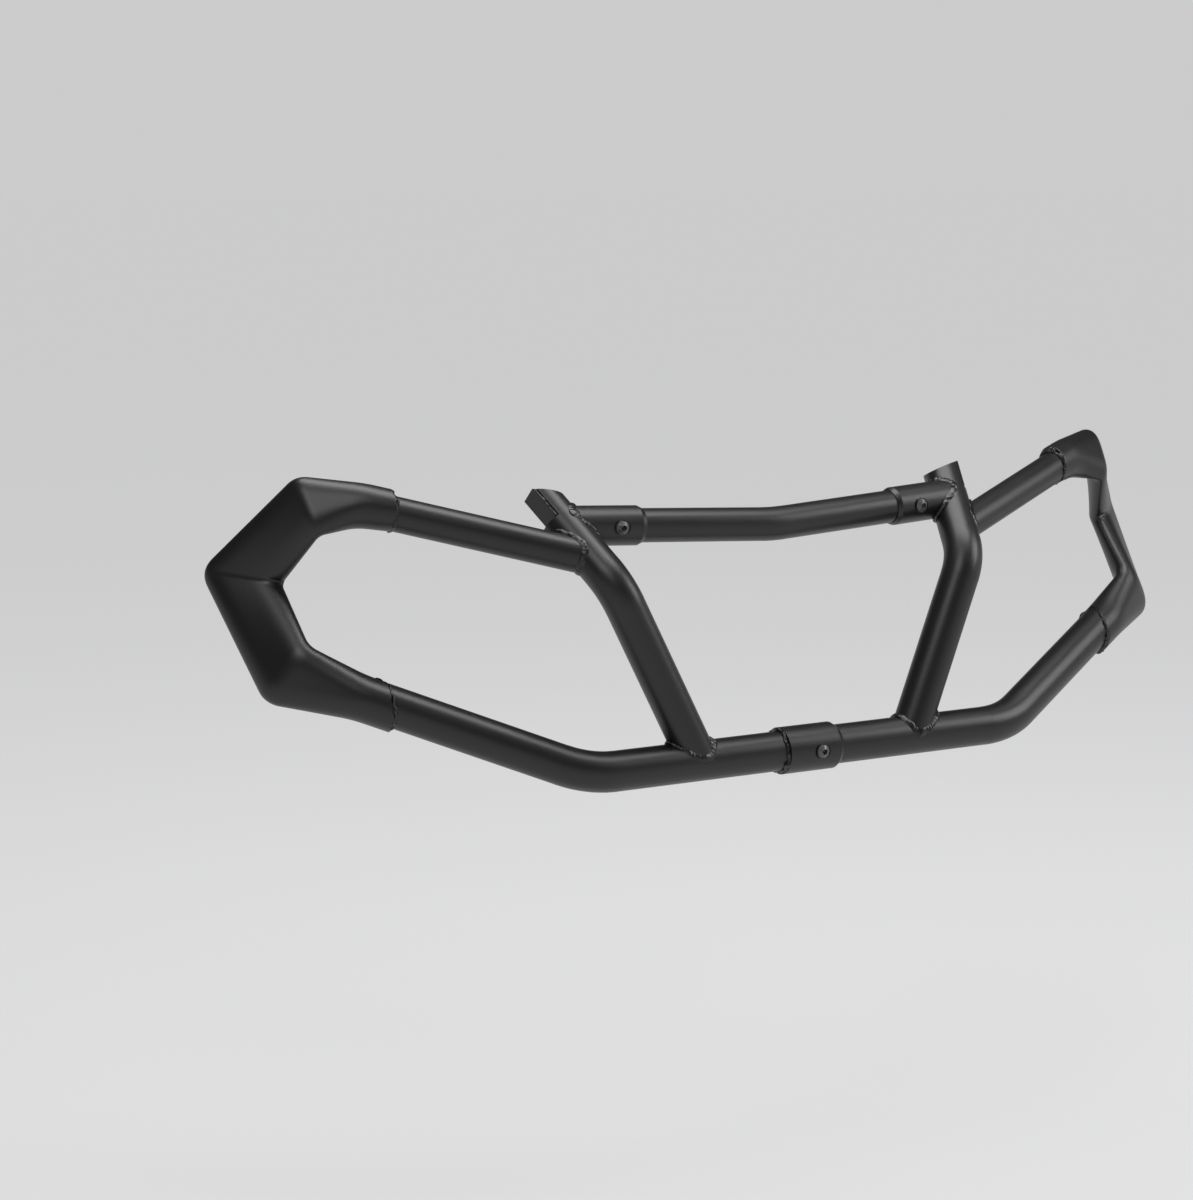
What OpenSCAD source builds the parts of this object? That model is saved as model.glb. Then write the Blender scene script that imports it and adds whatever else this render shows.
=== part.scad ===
// Tubular front bumper for an all-terrain vehicle, in millimetres.
// Two welded half frames are joined by a sleeve on the lower tube and by a bolted centre bar.
// +X points to the right as seen from the front, +Y to the rear, +Z up.
// The origin lies midway between the two lower mounting holes, on the brackets' rear faces.

/* [Tubes] */
// Outside diameter of the lower tubes and the uprights
lower_od = 42; // [38:1:46]
// Outside diameter of the upper tubes and the centre bar
upper_od = 36; // [32:1:38]
// Wall of every tube
tube_wall = 2.5; // [2:0.5:3.5]
// Radial play of a tube inside a sleeve or socket
slip_play = 0.3; // [0.2:0.1:0.5]
// Length of the bevel round the mouth of a socket or of the coupler
mouth_bevel = 5; // [2:0.5:7]
// Wall that the bevel leaves at the mouth
mouth_land = 0.5; // [0.4:0.1:1.5]
// Root gap left where one tube is coped to another
cope_gap = 0.2; // [0.1:0.1:0.4]

/* [Lower tube] */
// Distance of each bend from the middle
bend_x = 263; // [230:1:290]
// Sideways reach of the arm from its bend to the side guard
arm_run = 186; // [150:1:210]
// Rearward sweep of the arm over that reach
arm_sweep = 79; // [50:1:100]
// Rise of the arm over that reach
arm_rise = 76; // [50:1:100]
// Centre line radius of the bend
lower_bend_r = 110; // [80:5:130]

/* [Uprights] */
// Distance of each foot from the middle
foot_x = 133.5; // [120:0.5:150]
// Sideways lean from foot to knee
knee_spread = 86.5; // [60:0.5:100]
// Rearward lean from foot to knee
knee_lean = 19.5; // [0:0.5:30]
// Height of the knee over the lower tube's axis
knee_rise = 186; // [150:1:200]
// Centre line radius of the knee
knee_r = 60; // [55:5:75]
// Sideways lean of the head over its length, as an angle from straight back
head_splay = 20.6; // [10:0.1:30]
// Climb of the head, as an angle from level
head_climb = 39; // [30:1:50]
// Length of the head from the knee, on the axis
head_len = 136; // [130:1:146]
// Turn of the head's end cut that leaves the outboard side longer
head_cut_out = 32; // [0:1:36]
// Turn of the head's end cut that leaves the underside longer
head_cut_under = 29; // [0:1:34]

/* [Upper tubes] */
// Distance from the knee up the head to the upper tube's axis
upper_seat = 42; // [38:1:50]
// Sideways reach from the upright to the side guard
upper_run = 192; // [150:1:210]
// Rearward sweep over that reach
upper_sweep = 76; // [50:1:100]
// Rise over that reach
upper_rise = 51; // [30:1:70]

/* [Centre bar] */
// Distance from the head's end back to the socket's axis
bar_setback = 45.5; // [40:0.5:50]
// Forward reach of the bar's middle from its ends' axis
bar_sweep = 15.5; // [5:0.5:25]
// Drop of the bar's middle below its ends' axis
bar_drop = 12; // [4:0.5:20]
// Centre line radius of the bar's middle bend
bar_bend_r = 160; // [120:10:300]
// Outside diameter of the sockets
socket_od = 42; // [41:0.5:45]
// Distance of each socket's mouth from the middle
socket_mouth_x = 158; // [150:1:165]
// Length of bar inside each socket
socket_grip = 46; // [38:1:48]
// Distance of each socket bolt from the middle
socket_bolt_x = 188; // [180:1:190]

/* [Coupler] */
// Outside diameter of the coupler sleeve
coupler_od = 50; // [49:0.5:54]
// Length of the coupler sleeve
coupler_len = 68; // [60:1:80]
// Where the two lower tubes meet inside it, left of the middle
meet_x = 12; // [8:1:14]
// Space left between their ends
meet_gap = 2; // [1:0.5:4]
// Distance of the coupler bolt right of the middle
coupler_bolt_x = 5; // [0:1:8]

/* [Bolts] */
// Thread diameter of the bolts
bolt_d = 8; // [6:1:8]
// Radial clearance of the bolt holes
bolt_play = 0.5; // [0.3:0.1:0.8]
// Diameter of a bolt's button head
bolt_head_d = 14; // [13:0.5:15]
// Height of a bolt's button head
bolt_head_h = 4.4; // [3.5:0.1:5]
// Hexagon key size of the head
bolt_key = 5; // [4:0.5:6]
// Depth of the flat spot-faced seat under heads and nuts
seat_depth = 1.2; // [0.8:0.1:1.4]
// Diameter of the spot face
seat_d = 19; // [18.5:0.5:21]
// Outside diameter of the washer under a head
washer_d = 16; // [15:0.5:17]
// Thickness of the washer
washer_t = 1.6; // [1:0.1:2]
// Width across flats of the nut
nut_af = 13; // [12:0.5:14]
// Height of the flange nut
nut_h = 8; // [6:0.5:9]
// Diameter of the nut's flange
nut_flange_d = 17.6; // [16:0.1:18]
// Thickness of the nut's flange
nut_flange_t = 1.8; // [1:0.1:2.5]
// Bolt end standing out of the nut
bolt_tail = 3; // [1:0.5:5]

/* [Side guards] */
// Outside diameter of the guard's upper sleeve
guard_upper_od = 45; // [43:1:49]
// Outside diameter of the guard's lower sleeve
guard_lower_od = 50; // [48:1:54]
// Shift of each sleeve's outside away from the guard's window
guard_shift = 1.5; // [0:0.1:1.8]
// Depth of tube held inside each sleeve
guard_grip = 28; // [20:1:28]
// Straight length of each sleeve
guard_sleeve = 30; // [30:1:34]
// Wall of the guard
guard_wall = 3; // [2:0.5:4]
// Turn of the guard's broad face outward from straight ahead
guard_yaw = 42; // [30:1:50]
// Upward tilt of the broad face
guard_tilt = 24; // [15:1:30]
// Broad width at the upper corner, along the mitre
guard_w_upper = 69; // [60:1:72]
// Broad width at the outer corner, along the mitre
guard_w_outer = 89; // [80:1:92]
// Broad width at the lower corner, along the mitre
guard_w_lower = 67; // [62:1:74]
// Thickness of the guard at its corners
guard_t = 24; // [22:1:30]
// Length over which each corner is blended, either side of its mitre
guard_blend = 12; // [8:1:16]
// Upper corner from the upper tube's ring: sideways
guard_upper_dx = 79; // [70:1:86]
// Upper corner from the upper tube's ring: rearward
guard_upper_dy = 23.5; // [16:0.5:32]
// Upper corner from the upper tube's ring: up
guard_upper_dz = 9.5; // [2:0.5:16]
// Lower corner from the lower tube's ring: sideways
guard_lower_dx = 93.5; // [85:0.5:102]
// Lower corner from the lower tube's ring: rearward
guard_lower_dy = 41.5; // [34:0.5:50]
// Lower corner from the lower tube's ring: up
guard_lower_dz = 30.5; // [24:0.5:38]
// Outer corner's reach beyond the middle of the two others: sideways
guard_nose_dx = 33.5; // [26:0.5:42]
// Outer corner's reach beyond the middle of the two others: rearward
guard_nose_dy = 64; // [56:1:72]
// Outer corner's reach beyond the middle of the two others: up
guard_nose_dz = 8; // [0:1:14]

/* [End plates] */
// Distance of the plate's outer face from the head's axis
plate_out = 8; // [6:0.5:12]
// Turn of the plate's face from outboard towards the ground
plate_turn = 20; // [0:1:40]
// Thickness of the plate
plate_t = 4; // [3:0.5:5]
// Length of the plate from its lower front corner to the end cut's middle
plate_len = 41; // [36:1:46]
// Slant of the plate's lower edge across its width
plate_slant = 5; // [0:1:10]
// Chamfer of the plate's lower corners
plate_chamfer = 2.5; // [1:0.5:5]

/* [Mounting brackets] */
// Distance from the lower tube's axis to the brackets' rear face
mount_standoff = 44; // [42:1:52]
// Thickness of the bracket plate
bracket_t = 5; // [4:0.5:6]
// Height of the bracket
bracket_h = 20; // [18:1:24]
// Width of the bracket's foot
bracket_w = 34; // [30:1:40]
// Diameter of the mounting hole
mount_hole_d = 8.5; // [6.5:0.5:10.5]
// Distance of each mounting hole from the middle
mount_hole_x = 180; // [177:1:190]
// Inside radius of the bracket's fold
bracket_fold_r = 4; // [2:1:6]

/* [Welds] */
// Leg length of the weld beads
weld_leg = 4; // [2:0.5:5]
// Gap that keeps a bead's root off the steel
weld_root = 0.15; // [0.1:0.01:0.2]

/* [Hidden] */

$fn = 64;
coat = "#26272b";
steel = "#8c8f94";
weld_steel = "#1d1d20";
eps = 1;
bend_swell = 0.2;
bend_lap = 0.5;
head_overrun = 30;
key_depth = 2.6;
bead_bulge = 0.17;
bead_steps = 40;
bracket_bead_angle = 24;

UP = [0, 0, 1];
FRONT = [0, -1, 0];
OUT = [1, 0, 0];

function unit(v) = v / norm(v);
function flat_to(v, n) = unit(v - (v * n) * n);

// Chord of a tube at distance h from its axis
function chord(od, h) = 2 * sqrt(od * od / 4 - h * h);

// Height of the end plate's slanted lower edge at x across it
function plate_low_y(x) = plate_slant * (x / plate_w + 1 / 2);

// Lower tube
bend_p = [bend_x, -mount_standoff, 0];
arm_dir = unit([arm_run, arm_sweep, arm_rise]);
lower_ring = bend_p + [arm_run, arm_sweep, arm_rise];

// Upright: foot, knee and head
foot_p = [foot_x, -mount_standoff, 0];
knee_p = foot_p + [knee_spread, knee_lean, knee_rise];
leg_dir = unit(knee_p - foot_p);
head_dir = [cos(head_climb) * sin(head_splay), cos(head_climb) * cos(head_splay), sin(head_climb)];
head_out = flat_to(OUT, head_dir);
head_up = cross(head_out, head_dir);
head_p = knee_p + head_len * head_dir;
cut_dir = unit(head_dir - tan(head_cut_out) * head_out + tan(head_cut_under) * head_up);

// End plate
plate_normal = cos(plate_turn) * head_out - sin(plate_turn) * head_up;
plate_side = cross(head_dir, plate_normal);
plate_low_p = head_p - plate_len * head_dir + (plate_out - plate_t) * plate_normal;
plate_w = chord(lower_od, plate_out);

// Upper tube
upper_p = knee_p + upper_seat * head_dir;
upper_dir = unit([upper_run, upper_sweep, upper_rise]);
upper_ring = upper_p + [upper_run, upper_sweep, upper_rise];

// Centre bar and sockets
bar_end_p = head_p - bar_setback * head_dir;
bar_mid_p = [0, bar_end_p[1] - bar_sweep, bar_end_p[2] - bar_drop];
bar_dir = unit(bar_end_p - bar_mid_p);
bar_front = flat_to(FRONT, bar_dir);
socket_id = upper_od + 2 * slip_play;

function on_bar(x) = bar_mid_p + bar_dir * (x / bar_dir[0]);

// Coupler
coupler_id = lower_od + 2 * slip_play;
coupler_left_p = [-coupler_len / 2, -mount_standoff, 0];
coupler_bolt_p = [coupler_bolt_x, -mount_standoff, 0];

// Side guard
guard_n = [cos(guard_tilt) * sin(guard_yaw), -cos(guard_tilt) * cos(guard_yaw), sin(guard_tilt)];
guard_upper_p = upper_ring + [guard_upper_dx, guard_upper_dy, guard_upper_dz];
guard_lower_p = lower_ring + [guard_lower_dx, guard_lower_dy, guard_lower_dz];
guard_outer_p = (guard_upper_p + guard_lower_p) / 2 + [guard_nose_dx, guard_nose_dy, guard_nose_dz];
guard_points = 32;
blend_steps = 4;
oval_power = 0.85;

upper_bore = upper_od + 2 * slip_play;
lower_bore = lower_od + 2 * slip_play;

// Bolts
bolt_hole_d = bolt_d + 2 * bolt_play;
socket_seat = socket_od / 2 - seat_depth;
coupler_seat = coupler_od / 2 - seat_depth;

// Mounting bracket
bracket_web_x = mount_hole_x - bracket_w / 2;

// Places a child's +Z along z, its +X along x, with its origin at p.
module framed(p, x, z) {
    y = cross(z, x);
    multmatrix([[x[0], y[0], z[0], p[0]],
                [x[1], y[1], z[1], p[1]],
                [x[2], y[2], z[2], p[2]],
                [0, 0, 0, 1]])
        children();
}

function any_side(d) = flat_to(abs(d[2]) > 0.9 ? FRONT : UP, d);

module along(p, d) framed(p, any_side(d), d) children();

module section(od, id) {
    difference() {
        circle(d = od);
        if (id > 0) circle(d = id);
    }
}

// Straight tube from p to q
module straight(p, q, od, id) {
    along(p, unit(q - p)) linear_extrude(norm(q - p)) section(od, id);
}

// Sleeve from its bevelled mouth at p to its plain end at q
module sleeve(p, q, od, id) {
    along(p, unit(q - p)) rotate_extrude()
        polygon([[id / 2, 0], [id / 2 + mouth_land, 0], [od / 2, mouth_bevel],
                 [od / 2, norm(q - p)], [id / 2, norm(q - p)]]);
}

// Tangent length of a bend of radius r between two directions
function bend_tangent(d1, d2, r) = r * tan(acos(d1 * d2) / 2);

// Tube through the points a, b and c, bent at b with centre line radius r.
// The bend is a hair thicker than the straight stretches, which reach a little way into it.
module bent_tube(a, b, c, r, od, id = 0) {
    d1 = unit(b - a);
    d2 = unit(c - b);
    turn = acos(d1 * d2);
    t = bend_tangent(d1, d2, r);
    axis = unit(cross(d1, d2));
    inward = cross(axis, d1);
    framed(b - t * d1 + r * inward, -inward, axis) {
        translate([r, bend_lap, 0]) rotate([90, 0, 0])
            linear_extrude(norm(b - a) - t + bend_lap) section(od, id);
        rotate_extrude(angle = turn) translate([r, 0]) section(od + bend_swell, max(0, id - bend_swell));
        rotate([0, 0, turn]) translate([r, -bend_lap, 0]) rotate([-90, 0, 0])
            linear_extrude(norm(c - b) - t + bend_lap) section(od, id);
    }
}

module on_side(s) {
    if (s < 0) mirror([1, 0, 0]) children();
    else children();
}

// Bolt hole with a flat seat on both sides of a tube of diameter od
module bolt_cut(p, d, od) {
    seat = od / 2 - seat_depth;
    along(p - od * d, d) cylinder(d = bolt_hole_d, h = 2 * od);
    for (e = [-1, 1]) along(p + e * seat * d, e * d) cylinder(d = seat_d, h = od);
}

module plain_hole(p, d, od) {
    along(p - od * d, d) cylinder(d = bolt_hole_d, h = 2 * od);
}

module lower_tube(s, inner_x) {
    color(coat) difference() {
        on_side(s) bent_tube([inner_x, bend_p[1], bend_p[2]], bend_p,
                             lower_ring + guard_grip * arm_dir, lower_bend_r,
                             lower_od, lower_od - 2 * tube_wall);
        if (s > 0) plain_hole(coupler_bolt_p, FRONT, lower_od);
    }
}

module left_lower_tube() lower_tube(-1, meet_x);
module right_lower_tube() lower_tube(1, meet_gap - meet_x);

module lower_coupler() {
    color(coat) difference() {
        sleeve([coupler_len / 2, bend_p[1], bend_p[2]], coupler_left_p, coupler_od, coupler_id);
        bolt_cut(coupler_bolt_p, FRONT, coupler_od);
    }
}

// The upright's outside as a solid, grown by gap, to cope other tubes with
module upright_core(gap = 0) {
    bent_tube(foot_p, knee_p, head_p + head_overrun * head_dir, knee_r, lower_od + 2 * gap);
}

// Everything beyond the head's oblique end cut
module head_end_cut() {
    along(head_p, cut_dir) cylinder(d = 4 * lower_od, h = 2 * lower_od);
}

module upright() {
    color(coat) difference() {
        bent_tube(foot_p, knee_p, head_p + head_overrun * head_dir, knee_r,
                  lower_od, lower_od - 2 * tube_wall);
        straight(foot_p - 3 * lower_od * OUT, foot_p + 3 * lower_od * OUT, lower_od + 2 * cope_gap, 0);
        head_end_cut();
        framed(plate_low_p, plate_side, plate_normal) linear_extrude(lower_od)
            polygon([[-lower_od, plate_low_y(-lower_od) - cope_gap],
                     [lower_od, plate_low_y(lower_od) - cope_gap],
                     [lower_od, 2 * lower_od], [-lower_od, 2 * lower_od]]);
    }
}

module end_plate() {
    side = plate_w / 2;
    color(coat) difference() {
        framed(plate_low_p, plate_side, plate_normal) linear_extrude(plate_t)
            polygon([[-side, plate_low_y(-side) + plate_chamfer],
                     [-side + plate_chamfer, plate_low_y(-side)],
                     [side - plate_chamfer, plate_low_y(side)],
                     [side, plate_low_y(side) + plate_chamfer],
                     [side, 2 * lower_od], [-side, 2 * lower_od]]);
        head_end_cut();
    }
}

module upper_tube() {
    color(coat) difference() {
        straight(upper_p, upper_ring + guard_grip * upper_dir, upper_od, upper_od - 2 * tube_wall);
        upright_core(cope_gap);
    }
}

module bar_socket() {
    color(coat) difference() {
        sleeve(on_bar(socket_mouth_x), bar_end_p, socket_od, socket_id);
        upright_core(cope_gap);
        bolt_cut(on_bar(socket_bolt_x), bar_front, socket_od);
    }
}

module centre_bar() {
    tip = on_bar(socket_mouth_x + socket_grip);
    color(coat) difference() {
        bent_tube([-tip[0], tip[1], tip[2]], bar_mid_p, tip, bar_bend_r, upper_od, upper_od - 2 * tube_wall);
        for (s = [-1, 1]) on_side(s) plain_hole(on_bar(socket_bolt_x), bar_front, upper_od);
    }
}

// Button head bolt on the axis p, d, with its washer seated at a distance seat from p
module bolt(p, d, seat) {
    under_head = seat + washer_t;
    crown_r = (pow(bolt_head_d / 2, 2) + pow(bolt_head_h, 2)) / (2 * bolt_head_h);
    color(steel) along(p, d) difference() {
        union() {
            translate([0, 0, -seat - nut_h - bolt_tail])
                cylinder(d = bolt_d, h = seat + under_head + nut_h + bolt_tail + eps);
            translate([0, 0, under_head]) intersection() {
                cylinder(d = bolt_head_d, h = bolt_head_h);
                translate([0, 0, bolt_head_h - crown_r]) sphere(r = crown_r);
            }
        }
        translate([0, 0, under_head + bolt_head_h - key_depth])
            cylinder(d = bolt_key / cos(30), h = key_depth + eps, $fn = 6);
    }
}

module washer(p, d, seat) {
    color(steel) along(p, d) translate([0, 0, seat]) difference() {
        cylinder(d = washer_d, h = washer_t);
        translate([0, 0, -eps]) cylinder(d = bolt_d + 2 * slip_play, h = washer_t + 2 * eps);
    }
}

module nut(p, d, seat) {
    color(steel) along(p, -d) translate([0, 0, seat]) difference() {
        union() {
            cylinder(d = nut_flange_d, h = nut_flange_t);
            cylinder(d = nut_af / cos(30), h = nut_h, $fn = 6);
        }
        translate([0, 0, -eps]) cylinder(d = bolt_d + slip_play, h = nut_h + 2 * eps);
    }
}

module coupler_bolt() bolt(coupler_bolt_p, FRONT, coupler_seat);
module coupler_washer() washer(coupler_bolt_p, FRONT, coupler_seat);
module coupler_nut() nut(coupler_bolt_p, FRONT, coupler_seat);
module socket_bolt() bolt(on_bar(socket_bolt_x), bar_front, socket_seat);
module socket_washer() washer(on_bar(socket_bolt_x), bar_front, socket_seat);
module socket_nut() nut(on_bar(socket_bolt_x), bar_front, socket_seat);

function signed_pow(v, e) = sign(v) * pow(abs(v), e);

// Oval ring of points round c: broad half width along b, thin half width along n
function oval(c, b, n, w, t, e) = [
    for (k = [0 : guard_points - 1]) let (a = 360 * k / guard_points)
        c + b * (w / 2 * signed_pow(cos(a), e)) + n * (t / 2 * signed_pow(sin(a), e))];

// Ring across the path direction s
function ring(c, s, w, t, e) = let (n = flat_to(guard_n, s)) oval(c, cross(n, s), n, w, t, e);

// Round ring of a sleeve, shifted away from the window
function sleeve_ring(c, s, od, shift) = let (n = flat_to(guard_n, s))
    ring(c + shift * cross(n, s), s, od, od, 1);

// Rings that carry the section round a mitred corner at c, from direction d1 to d2
function corner(c, d1, d2, w, t) = let (s = unit(d1 + d2)) [
    for (i = [0 : blend_steps]) let (u = i / blend_steps)
        ring(c - (1 - u) * (1 - u) * guard_blend * d1 + u * u * guard_blend * d2, s, w, t, oval_power)];

// Rings of the guard from its upper sleeve to its lower one, thinned by inset
function guard_rings(inset, upper_d, lower_d, shift) =
    let (a = upper_ring + guard_sleeve * upper_dir, e = lower_ring + guard_sleeve * arm_dir,
         d1 = unit(guard_upper_p - a), d2 = unit(guard_outer_p - guard_upper_p),
         d3 = unit(guard_lower_p - guard_outer_p), d4 = unit(e - guard_lower_p))
    concat([sleeve_ring(upper_ring, upper_dir, upper_d, shift), sleeve_ring(a, upper_dir, upper_d, shift)],
           corner(guard_upper_p, d1, d2, guard_w_upper - 2 * inset, guard_t - 2 * inset),
           corner(guard_outer_p, d2, d3, guard_w_outer - 2 * inset, guard_t - 2 * inset),
           corner(guard_lower_p, d3, d4, guard_w_lower - 2 * inset, guard_t - 2 * inset),
           [sleeve_ring(e, -arm_dir, lower_d, shift), sleeve_ring(lower_ring, -arm_dir, lower_d, shift)]);

// Closed skin over rings that follow one another and lead back to the first
module skin_loop(rings) {
    n = len(rings);
    m = len(rings[0]);
    polyhedron(
        points = [for (r = rings) each r],
        faces = [for (i = [0 : n - 1], j = [0 : m - 1]) let (k = (j + 1) % m, h = (i + 1) % n)
            each [[i * m + j, h * m + k, h * m + j], [i * m + j, i * m + k, h * m + k]]]);
}

// The guard's skin runs along its inside, over the lower sleeve's end and back along its outside
module side_guard() {
    outside = guard_rings(0, guard_upper_od, guard_lower_od, guard_shift);
    inside = guard_rings(guard_wall, upper_bore, lower_bore, 0);
    color(coat) skin_loop(concat(inside, [for (i = [len(outside) - 1 : -1 : 0]) outside[i]]));
}

// Folded bracket: a web from the lower tube's rear and a foot with the mounting hole
module mount_bracket() {
    fold_x = bracket_web_x + bracket_t + bracket_fold_r;
    color(coat) difference() {
        union() {
            translate([bracket_web_x, -mount_standoff, -bracket_h / 2])
                cube([bracket_t, mount_standoff - bracket_fold_r - bracket_t, bracket_h]);
            translate([fold_x, -bracket_t, -bracket_h / 2])
                cube([bracket_w - bracket_t - bracket_fold_r, bracket_t, bracket_h]);
            translate([fold_x, -bracket_t - bracket_fold_r, -bracket_h / 2])
                rotate([0, 0, 90]) rotate_extrude(angle = 90)
                    translate([bracket_fold_r, 0]) square([bracket_t, bracket_h]);
        }
        straight(bend_p - bend_x * OUT, bend_p, lower_od + 2 * cope_gap, 0);
        translate([mount_hole_x, -2 * bracket_t, 0]) rotate([-90, 0, 0])
            cylinder(d = mount_hole_d, h = 3 * bracket_t);
    }
}

// Bead in the corner between a tube of diameter od and a face across it at p, turned towards d
module ring_bead(p, d, od, from = 0, turn = 360) {
    r = od / 2 + weld_root;
    along(p + weld_root * d, d) rotate([0, 0, from]) rotate_extrude(angle = turn)
        intersection() {
            translate([r, 0]) circle(r = weld_leg);
            translate([r, 0]) square(weld_leg);
        }
}

// Where a line on a coping tube meets the tube it stands on: axis q0, a and radius r
function meet(p, d, q0, a, r) =
    let (w = p - q0, wp = w - (w * a) * a, dp = d - (d * a) * a,
         square = dp * dp, half = wp * dp, rest = wp * wp - r * r)
    p + d * ((-half + sqrt(max(0, half * half - square * rest))) / square);

// Fillet bead round the foot of a tube (axis p, d, radius r1) on another (axis q0, a, radius r2)
module saddle_bead(p, d, r1, q0, a, r2, legs) {
    u = flat_to(a, d);
    v = cross(d, u);
    skin_loop([for (i = [0 : bead_steps - 1])
        let (t = 360 * i / bead_steps, e2 = cos(t) * u + sin(t) * v,
             root = meet(p + r1 * e2, d, q0, a, r2),
             w = root - q0, e1 = unit(w - (w * a) * a),
             m1 = flat_to(e2 - bead_bulge * d, e1), off = unit(e1 + e2),
             o = root + 2 * weld_root * off)
        [o, o + legs * m1, o + legs * ((m1 + d) / 2 + bead_bulge * off), o + legs * d]]);
}

module tube_welds() {
    color(weld_steel) {
        saddle_bead(foot_p, leg_dir, lower_od / 2, bend_p, OUT, lower_od / 2, weld_leg);
        saddle_bead(upper_p, upper_dir, upper_od / 2, knee_p, head_dir, lower_od / 2, weld_leg);
        saddle_bead(bar_end_p, -bar_dir, socket_od / 2, knee_p, head_dir, lower_od / 2, weld_leg);
    }
}

module guard_welds() {
    color(weld_steel) {
        ring_bead(upper_ring, -upper_dir, upper_od);
        ring_bead(lower_ring, -arm_dir, lower_od);
    }
}

// Beads on both sides of the bracket's web, behind the lower tube
module bracket_welds() {
    color(weld_steel) for (e = [0, 1])
        ring_bead([bracket_web_x + e * bracket_t, bend_p[1], bend_p[2]], (2 * e - 1) * OUT, lower_od,
                  (1 - 2 * e) * 90 - bracket_bead_angle, 2 * bracket_bead_angle);
}

module coupler_weld() {
    color(weld_steel) ring_bead(coupler_left_p, -OUT, lower_od);
}

left_lower_tube();
right_lower_tube();
lower_coupler();
on_side(-1) upright();  // left_upright
upright();  // right_upright
on_side(-1) end_plate();  // left_end_plate
end_plate();  // right_end_plate
on_side(-1) upper_tube();  // left_upper_tube
upper_tube();  // right_upper_tube
on_side(-1) bar_socket();  // left_bar_socket
bar_socket();  // right_bar_socket
centre_bar();
on_side(-1) side_guard();  // left_side_guard
side_guard();  // right_side_guard
on_side(-1) mount_bracket();  // left_mount_bracket
mount_bracket();  // right_mount_bracket
on_side(-1) socket_bolt();  // left_socket_bolt
socket_bolt();  // right_socket_bolt
coupler_bolt();
on_side(-1) socket_washer();  // left_socket_washer
socket_washer();  // right_socket_washer
coupler_washer();
on_side(-1) socket_nut();  // left_socket_nut
socket_nut();  // right_socket_nut
coupler_nut();
on_side(-1) tube_welds();  // left_tube_welds
tube_welds();  // right_tube_welds
on_side(-1) guard_welds();  // left_guard_welds
guard_welds();  // right_guard_welds
on_side(-1) bracket_welds();  // left_bracket_welds
bracket_welds();  // right_bracket_welds
coupler_weld();
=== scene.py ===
import math
import bpy
from mathutils import Matrix, Vector, noise


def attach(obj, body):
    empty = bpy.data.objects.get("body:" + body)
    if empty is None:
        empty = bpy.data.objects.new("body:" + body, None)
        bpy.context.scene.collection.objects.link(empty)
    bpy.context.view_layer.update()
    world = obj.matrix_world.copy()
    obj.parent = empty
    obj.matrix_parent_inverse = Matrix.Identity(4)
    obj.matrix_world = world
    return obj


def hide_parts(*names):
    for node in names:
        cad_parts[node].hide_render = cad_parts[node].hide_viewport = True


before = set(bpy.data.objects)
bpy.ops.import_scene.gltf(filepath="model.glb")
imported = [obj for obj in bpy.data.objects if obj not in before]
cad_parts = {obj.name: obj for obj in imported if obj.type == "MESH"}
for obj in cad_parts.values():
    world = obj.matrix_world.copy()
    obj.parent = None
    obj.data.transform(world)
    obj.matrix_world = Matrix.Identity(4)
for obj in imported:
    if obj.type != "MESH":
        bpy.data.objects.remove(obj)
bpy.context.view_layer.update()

MM = 0.001
UP = Vector((0, 0, 1))
FRONT = Vector((0, -1, 0))
OUT = Vector((1, 0, 0))

# ---------------------------------------------------------------- the part's sizes, in mm, as in the CAD
LOWER_OD = 42.0
UPPER_OD = 36.0
SOCKET_OD = 42.0
COUPLER_OD = 50.0
COUPLER_LEN = 68.0
STANDOFF = 44.0
WELD_LEG = 4.0
SEAT_DEPTH = 1.2
WASHER_T = 1.6
BORE_PLAY = 0.3
BRACKET_X = 163.0
BRACKET_T = 5.0


def unit(v):
    return v.normalized()


def flat_to(v, n):
    return (v - v.dot(n) * n).normalized()


BEND = Vector((263, -STANDOFF, 0))
ARM = Vector((186, 79, 76))
ARM_DIR = unit(ARM)
LOWER_RING = BEND + ARM
FOOT = Vector((133.5, -STANDOFF, 0))
KNEE = FOOT + Vector((86.5, 19.5, 186))
LEG_DIR = unit(KNEE - FOOT)
SPLAY = math.radians(20.6)
CLIMB = math.radians(39)
HEAD_DIR = Vector((math.cos(CLIMB) * math.sin(SPLAY), math.cos(CLIMB) * math.cos(SPLAY), math.sin(CLIMB)))
HEAD_OUT = flat_to(OUT, HEAD_DIR)
HEAD_UP = HEAD_OUT.cross(HEAD_DIR)
UPPER_P = KNEE + 42 * HEAD_DIR
UPPER_RUN = Vector((192, 76, 51))
UPPER_DIR = unit(UPPER_RUN)
UPPER_RING = UPPER_P + UPPER_RUN
BAR_END = KNEE + 90.5 * HEAD_DIR
BAR_MID = Vector((0, BAR_END[1] - 15.5, BAR_END[2] - 12))
BAR_DIR = unit(BAR_END - BAR_MID)
BAR_FRONT = flat_to(FRONT, BAR_DIR)
SOCKET_BOLT = BAR_MID + BAR_DIR * (188 / BAR_DIR[0])
COUPLER_BOLT = Vector((5, -STANDOFF, 0))
COUPLER_END = Vector((-COUPLER_LEN / 2, -STANDOFF, 0))

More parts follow.
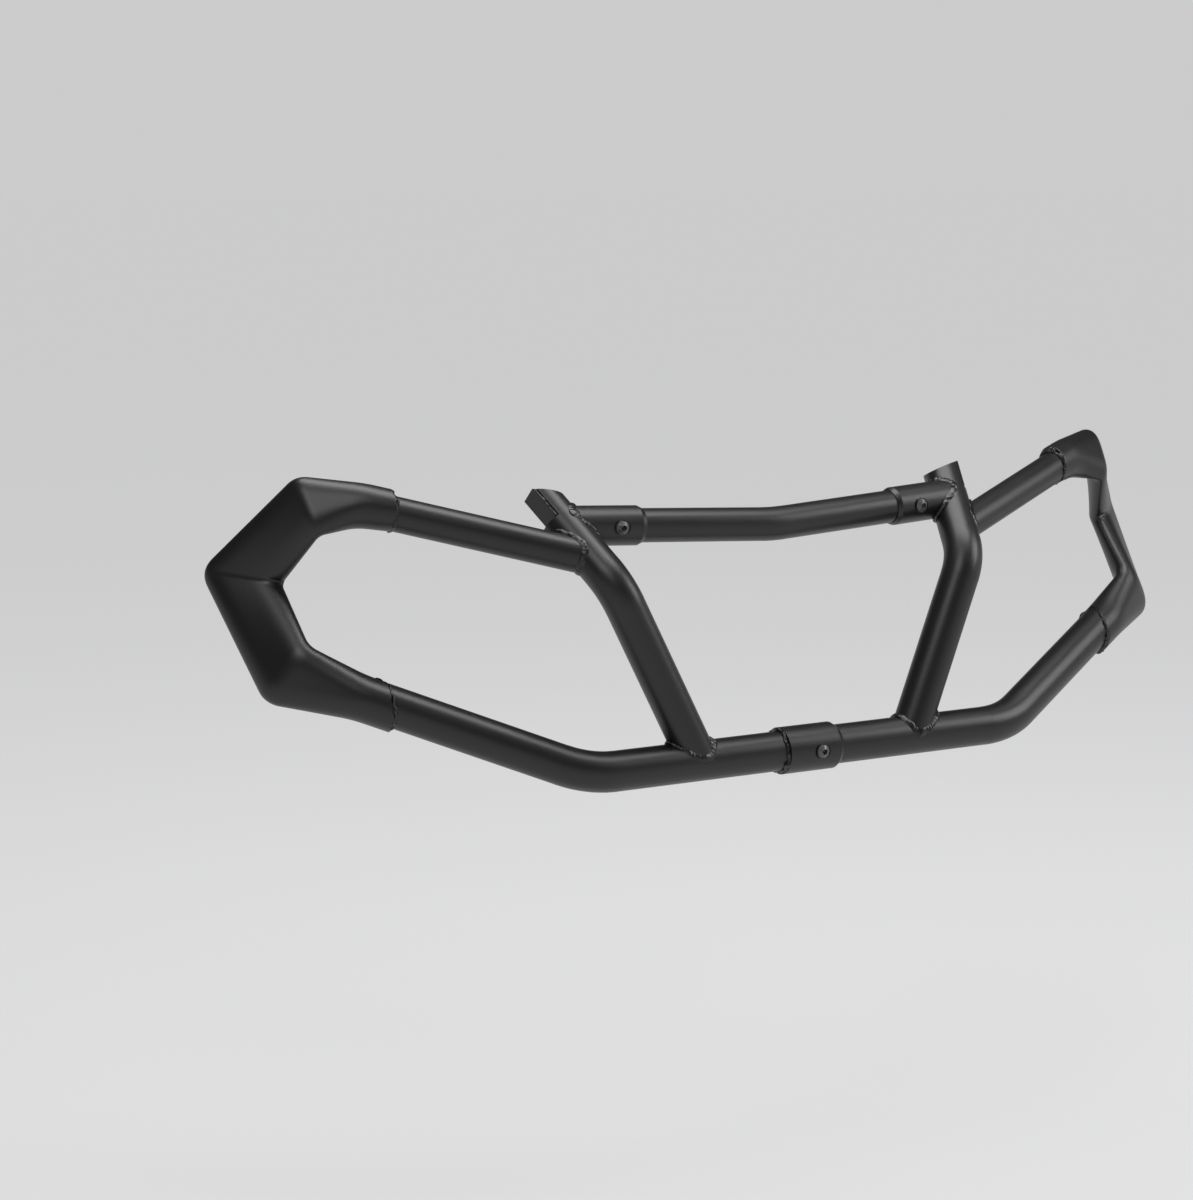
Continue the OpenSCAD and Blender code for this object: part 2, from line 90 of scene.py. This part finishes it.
GUARD_YAW = math.radians(42)
GUARD_TILT = math.radians(24)
GUARD_N = Vector((math.cos(GUARD_TILT) * math.sin(GUARD_YAW),
                  -math.cos(GUARD_TILT) * math.cos(GUARD_YAW), math.sin(GUARD_TILT)))
GUARD_UPPER = UPPER_RING + Vector((79, 23.5, 9.5))
GUARD_LOWER = LOWER_RING + Vector((93.5, 41.5, 30.5))
GUARD_OUTER = (GUARD_UPPER + GUARD_LOWER) / 2 + Vector((33.5, 64, 8))
GUARD_T = 24.0
GUARD_W = {"upper": 69.0, "outer": 89.0, "lower": 67.0}
GUARD_SLEEVE = 30.0
GUARD_UPPER_OD = 42.4
GUARD_LOWER_OD = 47.0
UPPER_SHIFT = 2.8
LOWER_SHIFT = 2.1
OVAL_POWER = 0.42

PLATE_TURN = math.radians(20)
PLATE_N = math.cos(PLATE_TURN) * HEAD_OUT - math.sin(PLATE_TURN) * HEAD_UP
PLATE_SIDE = HEAD_DIR.cross(PLATE_N)
PLATE_OUT = 8.0
PLATE_LEN = 41.0
PLATE_SLANT = 5.0
HEAD_LEN = 136.0
HEAD_P = KNEE + HEAD_LEN * HEAD_DIR
CUT_DIR = unit(HEAD_DIR - math.tan(math.radians(32)) * HEAD_OUT + math.tan(math.radians(29)) * HEAD_UP)


# ---------------------------------------------------------------- meshes
def add_mesh(name, points, faces, mats, side=1, face_mats=None):
    """A smooth mesh from points in mm; side -1 mirrors it to the left half."""
    verts = [(side * p[0] * MM, p[1] * MM, p[2] * MM) for p in points]
    if side < 0:
        faces = [tuple(reversed(f)) for f in faces]
    mesh = bpy.data.meshes.new(name)
    mesh.from_pydata(verts, [], faces)
    for m in mats:
        mesh.materials.append(m)
    mesh.polygons.foreach_set("use_smooth", [True] * len(mesh.polygons))
    if face_mats:
        mesh.polygons.foreach_set("material_index", face_mats)
    mesh.update()
    ob = bpy.data.objects.new(name, mesh)
    bpy.context.scene.collection.objects.link(ob)
    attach(ob, "root")
    return ob


def grid_faces(rows, cols, loop_rows=False, loop_cols=True):
    faces = []
    for i in range(rows if loop_rows else rows - 1):
        h = (i + 1) % rows
        for j in range(cols if loop_cols else cols - 1):
            k = (j + 1) % cols
            faces.append((i * cols + j, h * cols + j, h * cols + k, i * cols + k))
    return faces


def join(parts):
    """Several (points, faces) as one."""
    points, faces = [], []
    for pts, fcs in parts:
        base = len(points)
        points += pts
        faces += [tuple(i + base for i in f) for f in fcs]
    return points, faces


# ---------------------------------------------------------------- side guards
def signed_pow(v, e):
    return math.copysign(abs(v) ** e, v)


GUARD_COLS = 96


def oval(c, s, w, t, e, twist=0.0):
    n = Matrix.Rotation(twist, 3, s) @ flat_to(GUARD_N, s)
    b = n.cross(s)
    ring = []
    for j in range(GUARD_COLS):
        a = 2 * math.pi * j / GUARD_COLS
        reach = (w - t) / 2 * signed_pow(math.cos(a), e) + t / 2 * math.cos(a)
        ring.append(c + b * reach + n * (t / 2 * math.sin(a)))
    return ring


def sleeve_ring(c, s, od, shift):
    return oval(c + shift * flat_to(GUARD_N, s).cross(s), s, od, od, 1)


def wave(angle, seed, amount):
    v = Vector((math.cos(angle) * 1.7, math.sin(angle) * 1.7, seed))
    return amount * (noise.noise(v) + 0.6 * noise.noise(v * 3.1))


def from_window(angle):
    """Angle round a sleeve, counted from the side of the guard's window."""
    return (angle + 2 * math.pi) % (2 * math.pi) - math.pi


def upper_end(angle, seed):
    """How far the upper sleeve's end reaches past its ring, towards the upright."""
    return -5.0 * math.cos(angle) + 4.0 * math.sin(angle) + wave(angle, seed, 1.6)


def lower_end(angle, seed):
    """The same for the lower sleeve: slanted, with a notch on the window's side."""
    notch = 12.0 * math.exp(-(from_window(angle) / 0.5) ** 2)
    return 9.0 * math.cos(angle) + 2.0 * math.sin(angle) - notch + wave(angle, seed + 7, 1.8)


def guard_controls(seed):
    a = UPPER_RING + GUARD_SLEEVE * UPPER_DIR
    e = LOWER_RING + GUARD_SLEEVE * ARM_DIR
    d1, d2 = unit(GUARD_UPPER - a), unit(GUARD_OUTER - GUARD_UPPER)
    d3, d4 = unit(GUARD_LOWER - GUARD_OUTER), unit(e - GUARD_LOWER)
    turns = [2 * math.pi * j / GUARD_COLS for j in range(GUARD_COLS)]
    first = sleeve_ring(UPPER_RING, UPPER_DIR, GUARD_UPPER_OD, UPPER_SHIFT)
    last = sleeve_ring(LOWER_RING, -ARM_DIR, GUARD_LOWER_OD, LOWER_SHIFT)
    return [[p - UPPER_DIR * upper_end(t, seed) for p, t in zip(first, turns)],
            oval(a + 0.75 * flat_to(GUARD_N, UPPER_DIR).cross(UPPER_DIR), UPPER_DIR, 46.5, GUARD_UPPER_OD, 1),
            oval(GUARD_UPPER, unit(d1 + d2), GUARD_W["upper"], GUARD_T, OVAL_POWER),
            oval(GUARD_OUTER, unit(d2 + d3), GUARD_W["outer"], GUARD_T, OVAL_POWER),
            oval(GUARD_LOWER - LOWER_SPREAD / 2 * flat_to(GUARD_N, unit(d3 + d4)).cross(unit(d3 + d4)),
                 unit(d3 + d4), GUARD_W["lower"] + LOWER_SPREAD, LOWER_T, OVAL_POWER, LOWER_TWIST),
            sleeve_ring(e, -ARM_DIR, GUARD_LOWER_OD, LOWER_SHIFT),
            [p - ARM_DIR * lower_end(t, seed) for p, t in zip(last, turns)]], unit(d2 + d3)


# How far each bend of the skin is rounded: on its outer edge, on its face, on its inner edge
ROUNDING = [None, (12, 12, 12), (13, 7, 7), (20, 5, 7), (15, 10, 10), (12, 12, 12), None]
BEND_STEPS = 16
LEG_STEPS = 10


def rounding_at(i, j):
    outer, face, inner = ROUNDING[i]
    c = math.cos(2 * math.pi * j / GUARD_COLS)
    edge = outer if c > 0 else inner
    return face + (edge - face) * c * c


def guard_line(line, j):
    """The points of one line along the guard, rounded at its bends."""
    pts = [line[0]]
    tail = line[0]
    for i in range(1, len(line) - 1):
        p = line[i]
        d1, d2 = unit(p - line[i - 1]), unit(line[i + 1] - p)
        b = rounding_at(i, j)
        start = p - b * d1
        for k in range(1, LEG_STEPS + 1):
            pts.append(tail.lerp(start, k / LEG_STEPS))
        for k in range(1, BEND_STEPS + 1):
            u = k / BEND_STEPS
            pts.append(p - (1 - u) ** 2 * b * d1 + u * u * b * d2)
        tail = pts[-1]
    for k in range(1, LEG_STEPS + 1):
        pts.append(tail.lerp(line[-1], k / LEG_STEPS))
    return pts


LOWER_TWIST = math.radians(-9)
LOWER_SPREAD = 6.0
LOWER_T = 30.0
FOLD_DEPTH = 2.2
FOLD_WIDTH = 2.6


def smooth(x):
    x = min(1.0, max(0.0, x))
    return x * x * (3 - 2 * x)


def fold(p, j, across):
    """The pinched fold in the outer corner's inner edge."""
    a = 2 * math.pi * j / GUARD_COLS
    along = (p - GUARD_OUTER).dot(across) + 1.5
    near = smooth((-math.cos(a) - 0.35) / 0.5) * smooth((math.sin(a) + 0.35) / 0.5)
    if near == 0 or abs(along) > 14:
        return p
    n = flat_to(GUARD_N, across)
    dip = -FOLD_DEPTH * math.exp(-(along / FOLD_WIDTH) ** 2)
    lip = 0.7 * math.exp(-((along + 5.5) / 3.0) ** 2)
    return p + n * near * (dip + lip)


EDGE = 0.9


def guard_end(ring, centre, axis, bore):
    """Rows from inside the sleeve's bore out over its rounded end. axis points out of the sleeve."""
    rows = []
    for depth, inset, in_bore in ((6, 0, True), (0.4, 0, True), (0, EDGE, False),
                                  (EDGE * 0.3, EDGE * 0.3, False), (EDGE, 0, False)):
        row = []
        for p in ring:
            along = (p - centre).dot(axis)
            r = p - centre - along * axis
            size = bore / 2 if in_bore else max(r.length - inset, bore / 2 + 0.1)
            row.append(centre + unit(r) * size + axis * (along - depth))
        rows.append(row)
    return rows


def guard_mesh(seed):
    controls, across = guard_controls(seed)
    lines = [guard_line([r[j] for r in controls], j) for j in range(GUARD_COLS)]
    rows = [[fold(lines[j][i], j, across) for j in range(GUARD_COLS)] for i in range(len(lines[0]))]
    start = guard_end(controls[0], UPPER_RING, -UPPER_DIR, UPPER_OD + BORE_PLAY)
    end = guard_end(controls[-1], LOWER_RING, -ARM_DIR, LOWER_OD + BORE_PLAY)
    rows = start + rows[1:-1] + end[::-1]
    return [p for row in rows for p in row], grid_faces(len(rows), GUARD_COLS)


# ---------------------------------------------------------------- weld beads
RIPPLE = 3.4
BEAD_COLS = 11


def bead(stations, closed, leg=WELD_LEG, seed=0.0, lumps=0.25, sink=0.5):
    """Bead along stations of (root, two leg directions, outward, size), with ripples and lumps."""
    pts = []
    s = 0.0
    total = sum((stations[i][0] - stations[i - 1][0]).length for i in range(1, len(stations)))
    count = max(1, round(total / RIPPLE))
    for i, (root, m1, m2, off, size) in enumerate(stations):
        if i:
            s += (root - stations[i - 1][0]).length
        v = root * 0.16 + Vector((seed, 0, 0))
        l1 = size * leg * (1 + lumps * 1.6 * noise.noise(v))
        l2 = size * leg * (1 + lumps * 1.6 * noise.noise(v + Vector((0, 9, 0))))
        high = 0.55 * lumps * noise.noise(v * 2.3 + Vector((0, 0, 5)))
        for k in range(BEAD_COLS):
            phi = math.pi / 2 * k / (BEAD_COLS - 1)
            swell = math.sin(2 * phi)
            crest = 0.5 + 0.5 * math.cos(2 * math.pi * (s / total * count - 0.3 * swell))
            lift = size * leg * (0.17 + high) * swell + 0.28 * (crest - 0.5) * swell
            pts.append(root - off * sink + m1 * l1 * math.cos(phi) ** 1.15 + m2 * l2 * math.sin(phi) ** 1.15 + off * lift)
        pts.append(root - off * (sink + 0.5))
    cols = BEAD_COLS + 1
    return pts, grid_faces(len(stations), cols, loop_rows=closed)


def any_side(d):
    return flat_to(FRONT if abs(d[2]) > 0.9 else UP, d)


def ring_stations(p, d, od, start=0.0, turn=360.0, steps=180):
    x = any_side(d)
    y = d.cross(x)
    out = []
    for i in range(steps):
        a = math.radians(start + turn * i / (steps if turn == 360 else steps - 1))
        r = x * math.cos(a) + y * math.sin(a)
        out.append((p + r * od / 2, r, d, unit(r + d), 1.0))
    return out


def guard_end_stations(ring_p, s, out_dir, od, end, seed, steps=240):
    """Round the tube along the sleeve's wavy end; the bead is thin where the sleeve lies close."""
    n = flat_to(GUARD_N, s)
    b = n.cross(s)
    out = []
    for i in range(steps):
        a = 2 * math.pi * i / steps
        r = b * math.cos(a) + n * math.sin(a)
        size = 0.72 + 0.28 * math.cos(a)
        out.append((ring_p + out_dir * end(a, seed) + r * od / 2, r, out_dir, unit(r + out_dir), size))
    return out


def meet(p, d, q0, a, r):
    w = p - q0
    wp = w - w.dot(a) * a
    dp = d - d.dot(a) * a
    square, half, rest = dp.dot(dp), wp.dot(dp), wp.dot(wp) - r * r
    return p + d * ((-half + math.sqrt(max(0, half * half - square * rest))) / square)


def saddle_stations(p, d, r1, q0, a, r2, steps=220):
    u = flat_to(a, d)
    v = d.cross(u)
    out = []
    for i in range(steps):
        t = 2 * math.pi * i / steps
        e2 = u * math.cos(t) + v * math.sin(t)
        root = meet(p + r1 * e2, d, q0, a, r2)
        w = root - q0
        e1 = unit(w - w.dot(a) * a)
        out.append((root, flat_to(e2 - 0.17 * d, e1), d, unit(e1 + e2), 1.0))
    return eased(out, 14)


EASED_PROUD = 0.4


def eased(stations, reach):
    """The same stations with their path eased round its sharp tips."""
    count = len(stations)
    out = []
    for i, st in enumerate(stations):
        near = [stations[(i + k) % count][0] for k in range(-reach, reach + 1)]
        mean = sum(near, Vector()) / len(near)
        out.append((mean + st[3] * EASED_PROUD * (mean - st[0]).length, *st[1:]))
    return out


def plate_stations():
    """Up the plate's front edge, where it meets the head's wall."""
    half = math.acos(PLATE_OUT / (LOWER_OD / 2))
    turn = -PLATE_TURN
    a = turn + half
    radial = HEAD_OUT * math.cos(a) + HEAD_UP * math.sin(a)
    tangent = -HEAD_OUT * math.sin(a) + HEAD_UP * math.cos(a)
    top = (HEAD_P - KNEE).dot(CUT_DIR) - (radial * LOWER_OD / 2).dot(CUT_DIR)
    end = top / HEAD_DIR.dot(CUT_DIR) - 1.0
    out = []
    steps = 60
    for i in range(steps):
        t = HEAD_LEN - PLATE_LEN + (end - HEAD_LEN + PLATE_LEN) * i / (steps - 1)
        root = KNEE + t * HEAD_DIR + radial * LOWER_OD / 2
        out.append((root, tangent, PLATE_SIDE, unit(radial + PLATE_N), 1.0))
    return out


# ---------------------------------------------------------------- bolts
BOLT_COLS = 48


def circle(r, z):
    return [(r * math.cos(2 * math.pi * j / BOLT_COLS), r * math.sin(2 * math.pi * j / BOLT_COLS), z)
            for j in range(BOLT_COLS)]


def hexagon(flats, z):
    out = []
    for j in range(BOLT_COLS):
        a = 2 * math.pi * j / BOLT_COLS
        near = (a + math.pi / 6) % (math.pi / 3) - math.pi / 6
        r = flats / 2 / math.cos(near)
        out.append((r * math.cos(a), r * math.sin(a), z))
    return out


def bolt_mesh(p, d, washer_seat, head_d=14.0, head_h=3.9, key=5.0, shank=8.0, nut_h=8.0, tail=3.0):
    seat = washer_seat + WASHER_T
    rows = [circle(shank / 2, seat)]
    crown = ((head_d / 2) ** 2 + head_h ** 2) / (2 * head_h)
    rim = head_d / 2
    rows += [circle(rim - 0.5, seat), circle(rim - 0.12, seat + 0.12), circle(rim, seat + 0.5), circle(rim - 0.02, seat + 1.0)]
    for k in range(1, 9):
        r = rim - (rim - key * 0.62) * k / 8
        z = math.sqrt(max(0, crown ** 2 - r * r)) - (crown - head_h)
        rows.append(circle(r, seat + max(z, 1.0 + 0.1 * k)))
    top = seat + head_h
    rows += [circle(key * 0.6, top), hexagon(key + 0.5, top - 0.05), hexagon(key, top - 0.4), hexagon(key, top - 2.6),
             circle(0.05, top - 2.9)]
    head = ([Vector(v) for r in rows for v in r], grid_faces(len(rows), BOLT_COLS))
    # The hex socket's last rows take material 1, the darker washer coat: painted shade in the socket's recess.
    socket_shade_mask = [1 if i // BOLT_COLS >= len(rows) - 4 else 0 for i in range(len(head[1]))]
    rows = [circle(shank / 2, seat)]
    end = -washer_seat - nut_h - tail
    z = end + tail + 0.5
    rows.append(circle(shank / 2, z))
    while z > end + 1:
        rows += [circle(shank / 2 - 0.55, z - 0.45), circle(shank / 2, z - 0.9)]
        z -= 1.25
    rows += [circle(shank / 2 - 0.8, end), circle(0.05, end)]
    stem = ([Vector(v) for r in rows for v in r], grid_faces(len(rows), BOLT_COLS))
    pts, faces = join([head, stem])
    x = any_side(d)
    y = d.cross(x)
    socket_shade_mask += [0] * (len(faces) - len(socket_shade_mask))
    return [p + x * q[0] + y * q[1] + d * q[2] for q in pts], faces, socket_shade_mask


# ---------------------------------------------------------------- camera
FOCAL_PX = 2759.0
PHOTO_H_PX = 1200.0
CAMERA_AT = (-1.596, -2.387 - STANDOFF * MM, 0.612)
CAMERA_YAW = math.radians(29.34)
CAMERA_PITCH = math.radians(9.0)
CAMERA_ROLL = math.radians(-0.07)


def make_camera():
    forward = Vector((math.sin(CAMERA_YAW) * math.cos(CAMERA_PITCH),
                      math.cos(CAMERA_YAW) * math.cos(CAMERA_PITCH), -math.sin(CAMERA_PITCH)))
    right = Vector((math.cos(CAMERA_YAW), -math.sin(CAMERA_YAW), 0.0))
    up = right.cross(forward)
    c, s = math.cos(CAMERA_ROLL), math.sin(CAMERA_ROLL)
    right, up = c * right + s * up, -s * right + c * up
    m = Matrix((right, up, -forward)).transposed().to_4x4()
    m.translation = CAMERA_AT
    data = bpy.data.cameras.new("camera")
    data.sensor_width = 36.0
    data.lens = FOCAL_PX / PHOTO_H_PX * data.sensor_width
    data.clip_end = 200.0
    cam = bpy.data.objects.new("camera", data)
    cam.matrix_world = m
    bpy.context.scene.collection.objects.link(cam)
    bpy.context.scene.camera = cam


# ---------------------------------------------------------------- lights, floor
def area_light(name, at, target, size, power):
    data = bpy.data.lights.new(name, "AREA")
    data.shape = "RECTANGLE"
    data.size, data.size_y = size
    data.energy = power
    ob = bpy.data.objects.new(name, data)
    at = Vector(at)
    m = (Vector(target) - at).to_track_quat("-Z", "Y").to_matrix().to_4x4()
    m.translation = at
    ob.matrix_world = m
    bpy.context.scene.collection.objects.link(ob)


def node(tree, kind, **values):
    n = tree.nodes.new(kind)
    for key, value in values.items():
        setattr(n, key, value)
    return n


def shows_backdrop(tree):
    """1 for the rays that show the backdrop: the camera's, and by gloss or through glass."""
    path = node(tree, "ShaderNodeLightPath")
    first = node(tree, "ShaderNodeMath", operation="MAXIMUM")
    both = node(tree, "ShaderNodeMath", operation="MAXIMUM")
    tree.links.new(path.outputs["Is Camera Ray"], first.inputs[0])
    tree.links.new(path.outputs["Is Glossy Ray"], first.inputs[1])
    tree.links.new(first.outputs[0], both.inputs[0])
    tree.links.new(path.outputs["Is Transmission Ray"], both.inputs[1])
    return both.outputs[0]


WORLD_FILL = 0.22
BACKDROP = 0.60
DOME = 0.06
DOME_FROM = 0.07
DOME_TO = 0.25
FLOOR_GLOW = 0.744
FLOOR_SHARE = 0.75
FLOOR_Z = -0.42
FLOOR_R = 80.0


def make_world():
    world = bpy.data.worlds.new("studio")
    bpy.context.scene.world = world
    world.use_nodes = True
    tree = world.node_tree
    tree.nodes.clear()
    out = node(tree, "ShaderNodeOutputWorld")
    coord = node(tree, "ShaderNodeTexCoord")
    split = node(tree, "ShaderNodeSeparateXYZ")
    height = node(tree, "ShaderNodeMapRange", interpolation_type="SMOOTHSTEP")
    height.inputs["From Min"].default_value = DOME_FROM
    height.inputs["From Max"].default_value = DOME_TO
    height.inputs["To Min"].default_value = BACKDROP
    height.inputs["To Max"].default_value = DOME
    back = node(tree, "ShaderNodeBackground")
    back.inputs["Color"].default_value = (1, 1, 1, 1)
    tree.links.new(coord.outputs["Generated"], split.inputs[0])
    tree.links.new(split.outputs["Z"], height.inputs["Value"])
    tree.links.new(height.outputs["Result"], back.inputs["Strength"])
    fill = node(tree, "ShaderNodeBackground")
    fill.inputs["Color"].default_value = (0.97, 0.98, 1, 1)
    fill.inputs["Strength"].default_value = WORLD_FILL
    mix = node(tree, "ShaderNodeMixShader")
    tree.links.new(shows_backdrop(tree), mix.inputs["Fac"])
    tree.links.new(fill.outputs[0], mix.inputs[1])
    tree.links.new(back.outputs[0], mix.inputs[2])
    tree.links.new(mix.outputs[0], out.inputs["Surface"])


def make_floor():
    mesh = bpy.data.meshes.new("floor")
    r, z = FLOOR_R, FLOOR_Z
    mesh.from_pydata([(-r, -r, z), (r, -r, z), (r, r, z), (-r, r, z)], [], [(0, 1, 2, 3)])
    ob = bpy.data.objects.new("floor", mesh)
    bpy.context.scene.collection.objects.link(ob)
    mat = bpy.data.materials.new("pale_floor")
    mat.use_nodes = True
    tree = mat.node_tree
    bsdf = tree.nodes["Principled BSDF"]
    bsdf.inputs["Roughness"].default_value = 0.9
    bsdf.inputs["Specular IOR Level"].default_value = 0.1
    coord = node(tree, "ShaderNodeTexCoord")
    cloud = node(tree, "ShaderNodeTexNoise")
    cloud.inputs["Scale"].default_value = 1.5
    tree.links.new(coord.outputs["Object"], cloud.inputs["Vector"])
    ramp = node(tree, "ShaderNodeValToRGB")
    ramp.color_ramp.elements[0].color = (0.75, 0.755, 0.76, 1)
    ramp.color_ramp.elements[1].color = (0.78, 0.78, 0.78, 1)
    tree.links.new(cloud.outputs["Fac"], ramp.inputs["Fac"])
    tree.links.new(ramp.outputs["Color"], bsdf.inputs["Base Color"])
    glow = node(tree, "ShaderNodeEmission")
    glow.inputs["Strength"].default_value = FLOOR_GLOW
    mix = node(tree, "ShaderNodeMixShader")
    share = node(tree, "ShaderNodeMath", operation="MULTIPLY")
    share.inputs[1].default_value = FLOOR_SHARE
    tree.links.new(shows_backdrop(tree), share.inputs[0])
    tree.links.new(share.outputs[0], mix.inputs["Fac"])
    tree.links.new(bsdf.outputs[0], mix.inputs[1])
    tree.links.new(glow.outputs[0], mix.inputs[2])
    tree.links.new(mix.outputs[0], tree.nodes["Material Output"].inputs["Surface"])
    mesh.materials.append(mat)


# ---------------------------------------------------------------- materials
def coat_material(name, dark, light, rough, peel, peel_scale=520.0):
    """Powder coat: fine orange peel and a faint cloud in its gloss."""
    mat = bpy.data.materials.new(name)
    mat.use_nodes = True
    tree = mat.node_tree
    bsdf = tree.nodes["Principled BSDF"]
    coord = node(tree, "ShaderNodeTexCoord")
    grain = node(tree, "ShaderNodeTexNoise")
    grain.inputs["Scale"].default_value = peel_scale
    grain.inputs["Detail"].default_value = 3.0
    cloud = node(tree, "ShaderNodeTexNoise")
    cloud.inputs["Scale"].default_value = 14.0
    cloud.inputs["Detail"].default_value = 3.0
    for tex in (grain, cloud):
        tree.links.new(coord.outputs["Object"], tex.inputs["Vector"])
    ramp = node(tree, "ShaderNodeValToRGB")
    ramp.color_ramp.elements[0].position = 0.35
    ramp.color_ramp.elements[0].color = (*dark, 1)
    ramp.color_ramp.elements[1].position = 0.65
    ramp.color_ramp.elements[1].color = (*light, 1)
    tree.links.new(cloud.outputs["Fac"], ramp.inputs["Fac"])
    tree.links.new(ramp.outputs["Color"], bsdf.inputs["Base Color"])
    gloss = node(tree, "ShaderNodeMapRange")
    gloss.inputs["To Min"].default_value = rough - 0.03
    gloss.inputs["To Max"].default_value = rough + 0.03
    tree.links.new(cloud.outputs["Fac"], gloss.inputs["Value"])
    tree.links.new(gloss.outputs["Result"], bsdf.inputs["Roughness"])
    bump = node(tree, "ShaderNodeBump")
    bump.inputs["Strength"].default_value = 1.0
    bump.inputs["Distance"].default_value = peel
    tree.links.new(grain.outputs["Fac"], bump.inputs["Height"])
    tree.links.new(bump.outputs["Normal"], bsdf.inputs["Normal"])
    bsdf.inputs["Specular IOR Level"].default_value = COAT_SPECULAR
    return mat


COAT_SPECULAR = 0.6
PLATE_SPECULAR = 0.2

make_camera()
make_world()
make_floor()
bpy.context.scene.view_settings.view_transform = "Standard"
area_light("top_soft", (0.2, 0.2, 2.4), (0, 0, 0.1), (2.6, 1.2), 52)
area_light("right_soft", (2.0, -1.1, 1.4), (0.1, 0, 0.1), (1.1, 1.3), 24)
area_light("left_high", (-1.3, -1.0, 1.9), (-0.3, 0, 0.1), (1.2, 0.9), 13)

coat = coat_material("black_coat", (0.004, 0.004, 0.0045), (0.0055, 0.0055, 0.006), 0.39, 0.00004)
# The plate has the same powder coat as the rest. Its darker base colour is painted shade of its downward-facing side.
plate_coat_painted_shade = coat_material("plate_coat_painted_shade", (0.002, 0.002, 0.002), (0.004, 0.004, 0.004), 0.55, 0.00004)
plate_coat_painted_shade.node_tree.nodes["Principled BSDF"].inputs["Specular IOR Level"].default_value = PLATE_SPECULAR
weld_coat = coat_material("weld_coat", (0.003, 0.003, 0.0035), (0.006, 0.006, 0.006), 0.32, 0.00012, 300.0)
# The bolts' grey base colour is partly their own black-oxide tone and partly a painted highlight for the glints on
# their heads' rims.
bolt_black_and_highlight = coat_material("bolt_black_and_highlight", (0.07, 0.07, 0.07), (0.10, 0.10, 0.10), 0.22, 0.00003)
# On the washers this is their own dark colour. On the bolts' hex sockets it is painted shade in the recess.
washer_black_and_socket_shade = coat_material("washer_black_and_socket_shade", (0.006, 0.006, 0.006), (0.009, 0.009, 0.009), 0.30, 0.00003)

for name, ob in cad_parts.items():
    ob.data.materials.clear()
    ob.data.materials.append(bolt_black_and_highlight if "nut" in name else washer_black_and_socket_shade if "washer" in name
                             else plate_coat_painted_shade if "plate" in name else coat)

for side, word in ((-1, "left"), (1, "right")):
    seed = 3.0 + 11 * side
    guard = add_mesh(word + "_guard_skin", *guard_mesh(seed), [coat], side)
    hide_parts(word + "_side_guard")

    beads = [bead(saddle_stations(FOOT, LEG_DIR, LOWER_OD / 2, BEND, OUT, LOWER_OD / 2), True, 4.8, seed, 0.25),
             bead(saddle_stations(UPPER_P, UPPER_DIR, UPPER_OD / 2, KNEE, HEAD_DIR, LOWER_OD / 2), True, 4.4, seed + 1, 0.25),
             bead(saddle_stations(BAR_END, -BAR_DIR, SOCKET_OD / 2, KNEE, HEAD_DIR, LOWER_OD / 2), True, 4.6, seed + 2, 0.3)]
    ob = add_mesh(word + "_tube_beads", *join(beads), [weld_coat], side)
    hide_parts(word + "_tube_welds")

    beads = [bead(guard_end_stations(UPPER_RING, UPPER_DIR, -UPPER_DIR, UPPER_OD, upper_end, seed),
                  True, 3.8, seed + 3, 0.6),
             bead(guard_end_stations(LOWER_RING, -ARM_DIR, -ARM_DIR, LOWER_OD, lower_end, seed),
                  True, 3.8, seed + 4, 0.6)]
    ob = add_mesh(word + "_guard_beads", *join(beads), [weld_coat], side)
    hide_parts(word + "_guard_welds")

    beads = []
    for e in (0, 1):
        d = OUT * (2 * e - 1)
        at = Vector((BRACKET_X + e * BRACKET_T, -STANDOFF, 0))
        beads.append(bead(ring_stations(at, d, LOWER_OD, (1 - 2 * e) * 90 - 24, 48, 24), False, seed=seed + 5))
    ob = add_mesh(word + "_bracket_beads", *join(beads), [weld_coat], side)
    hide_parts(word + "_bracket_welds")

    ob = add_mesh(word + "_plate_bead", *bead(plate_stations(), False, 2.2, seed + 6, 0.4), [weld_coat], side)

    points, faces, socket_shade_mask = bolt_mesh(SOCKET_BOLT, BAR_FRONT, SOCKET_OD / 2 - SEAT_DEPTH)
    ob = add_mesh(word + "_socket_screw", points, faces, [bolt_black_and_highlight, washer_black_and_socket_shade], side, socket_shade_mask)
    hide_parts(word + "_socket_bolt")

ob = add_mesh("coupler_bead", *bead(ring_stations(COUPLER_END, -OUT, LOWER_OD), True, 3.5, 5.0, 0.45), [weld_coat])
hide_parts("coupler_weld")
points, faces, socket_shade_mask = bolt_mesh(COUPLER_BOLT, FRONT, COUPLER_OD / 2 - SEAT_DEPTH)
ob = add_mesh("coupler_screw", points, faces, [bolt_black_and_highlight, washer_black_and_socket_shade], 1, socket_shade_mask)
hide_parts("coupler_bolt")
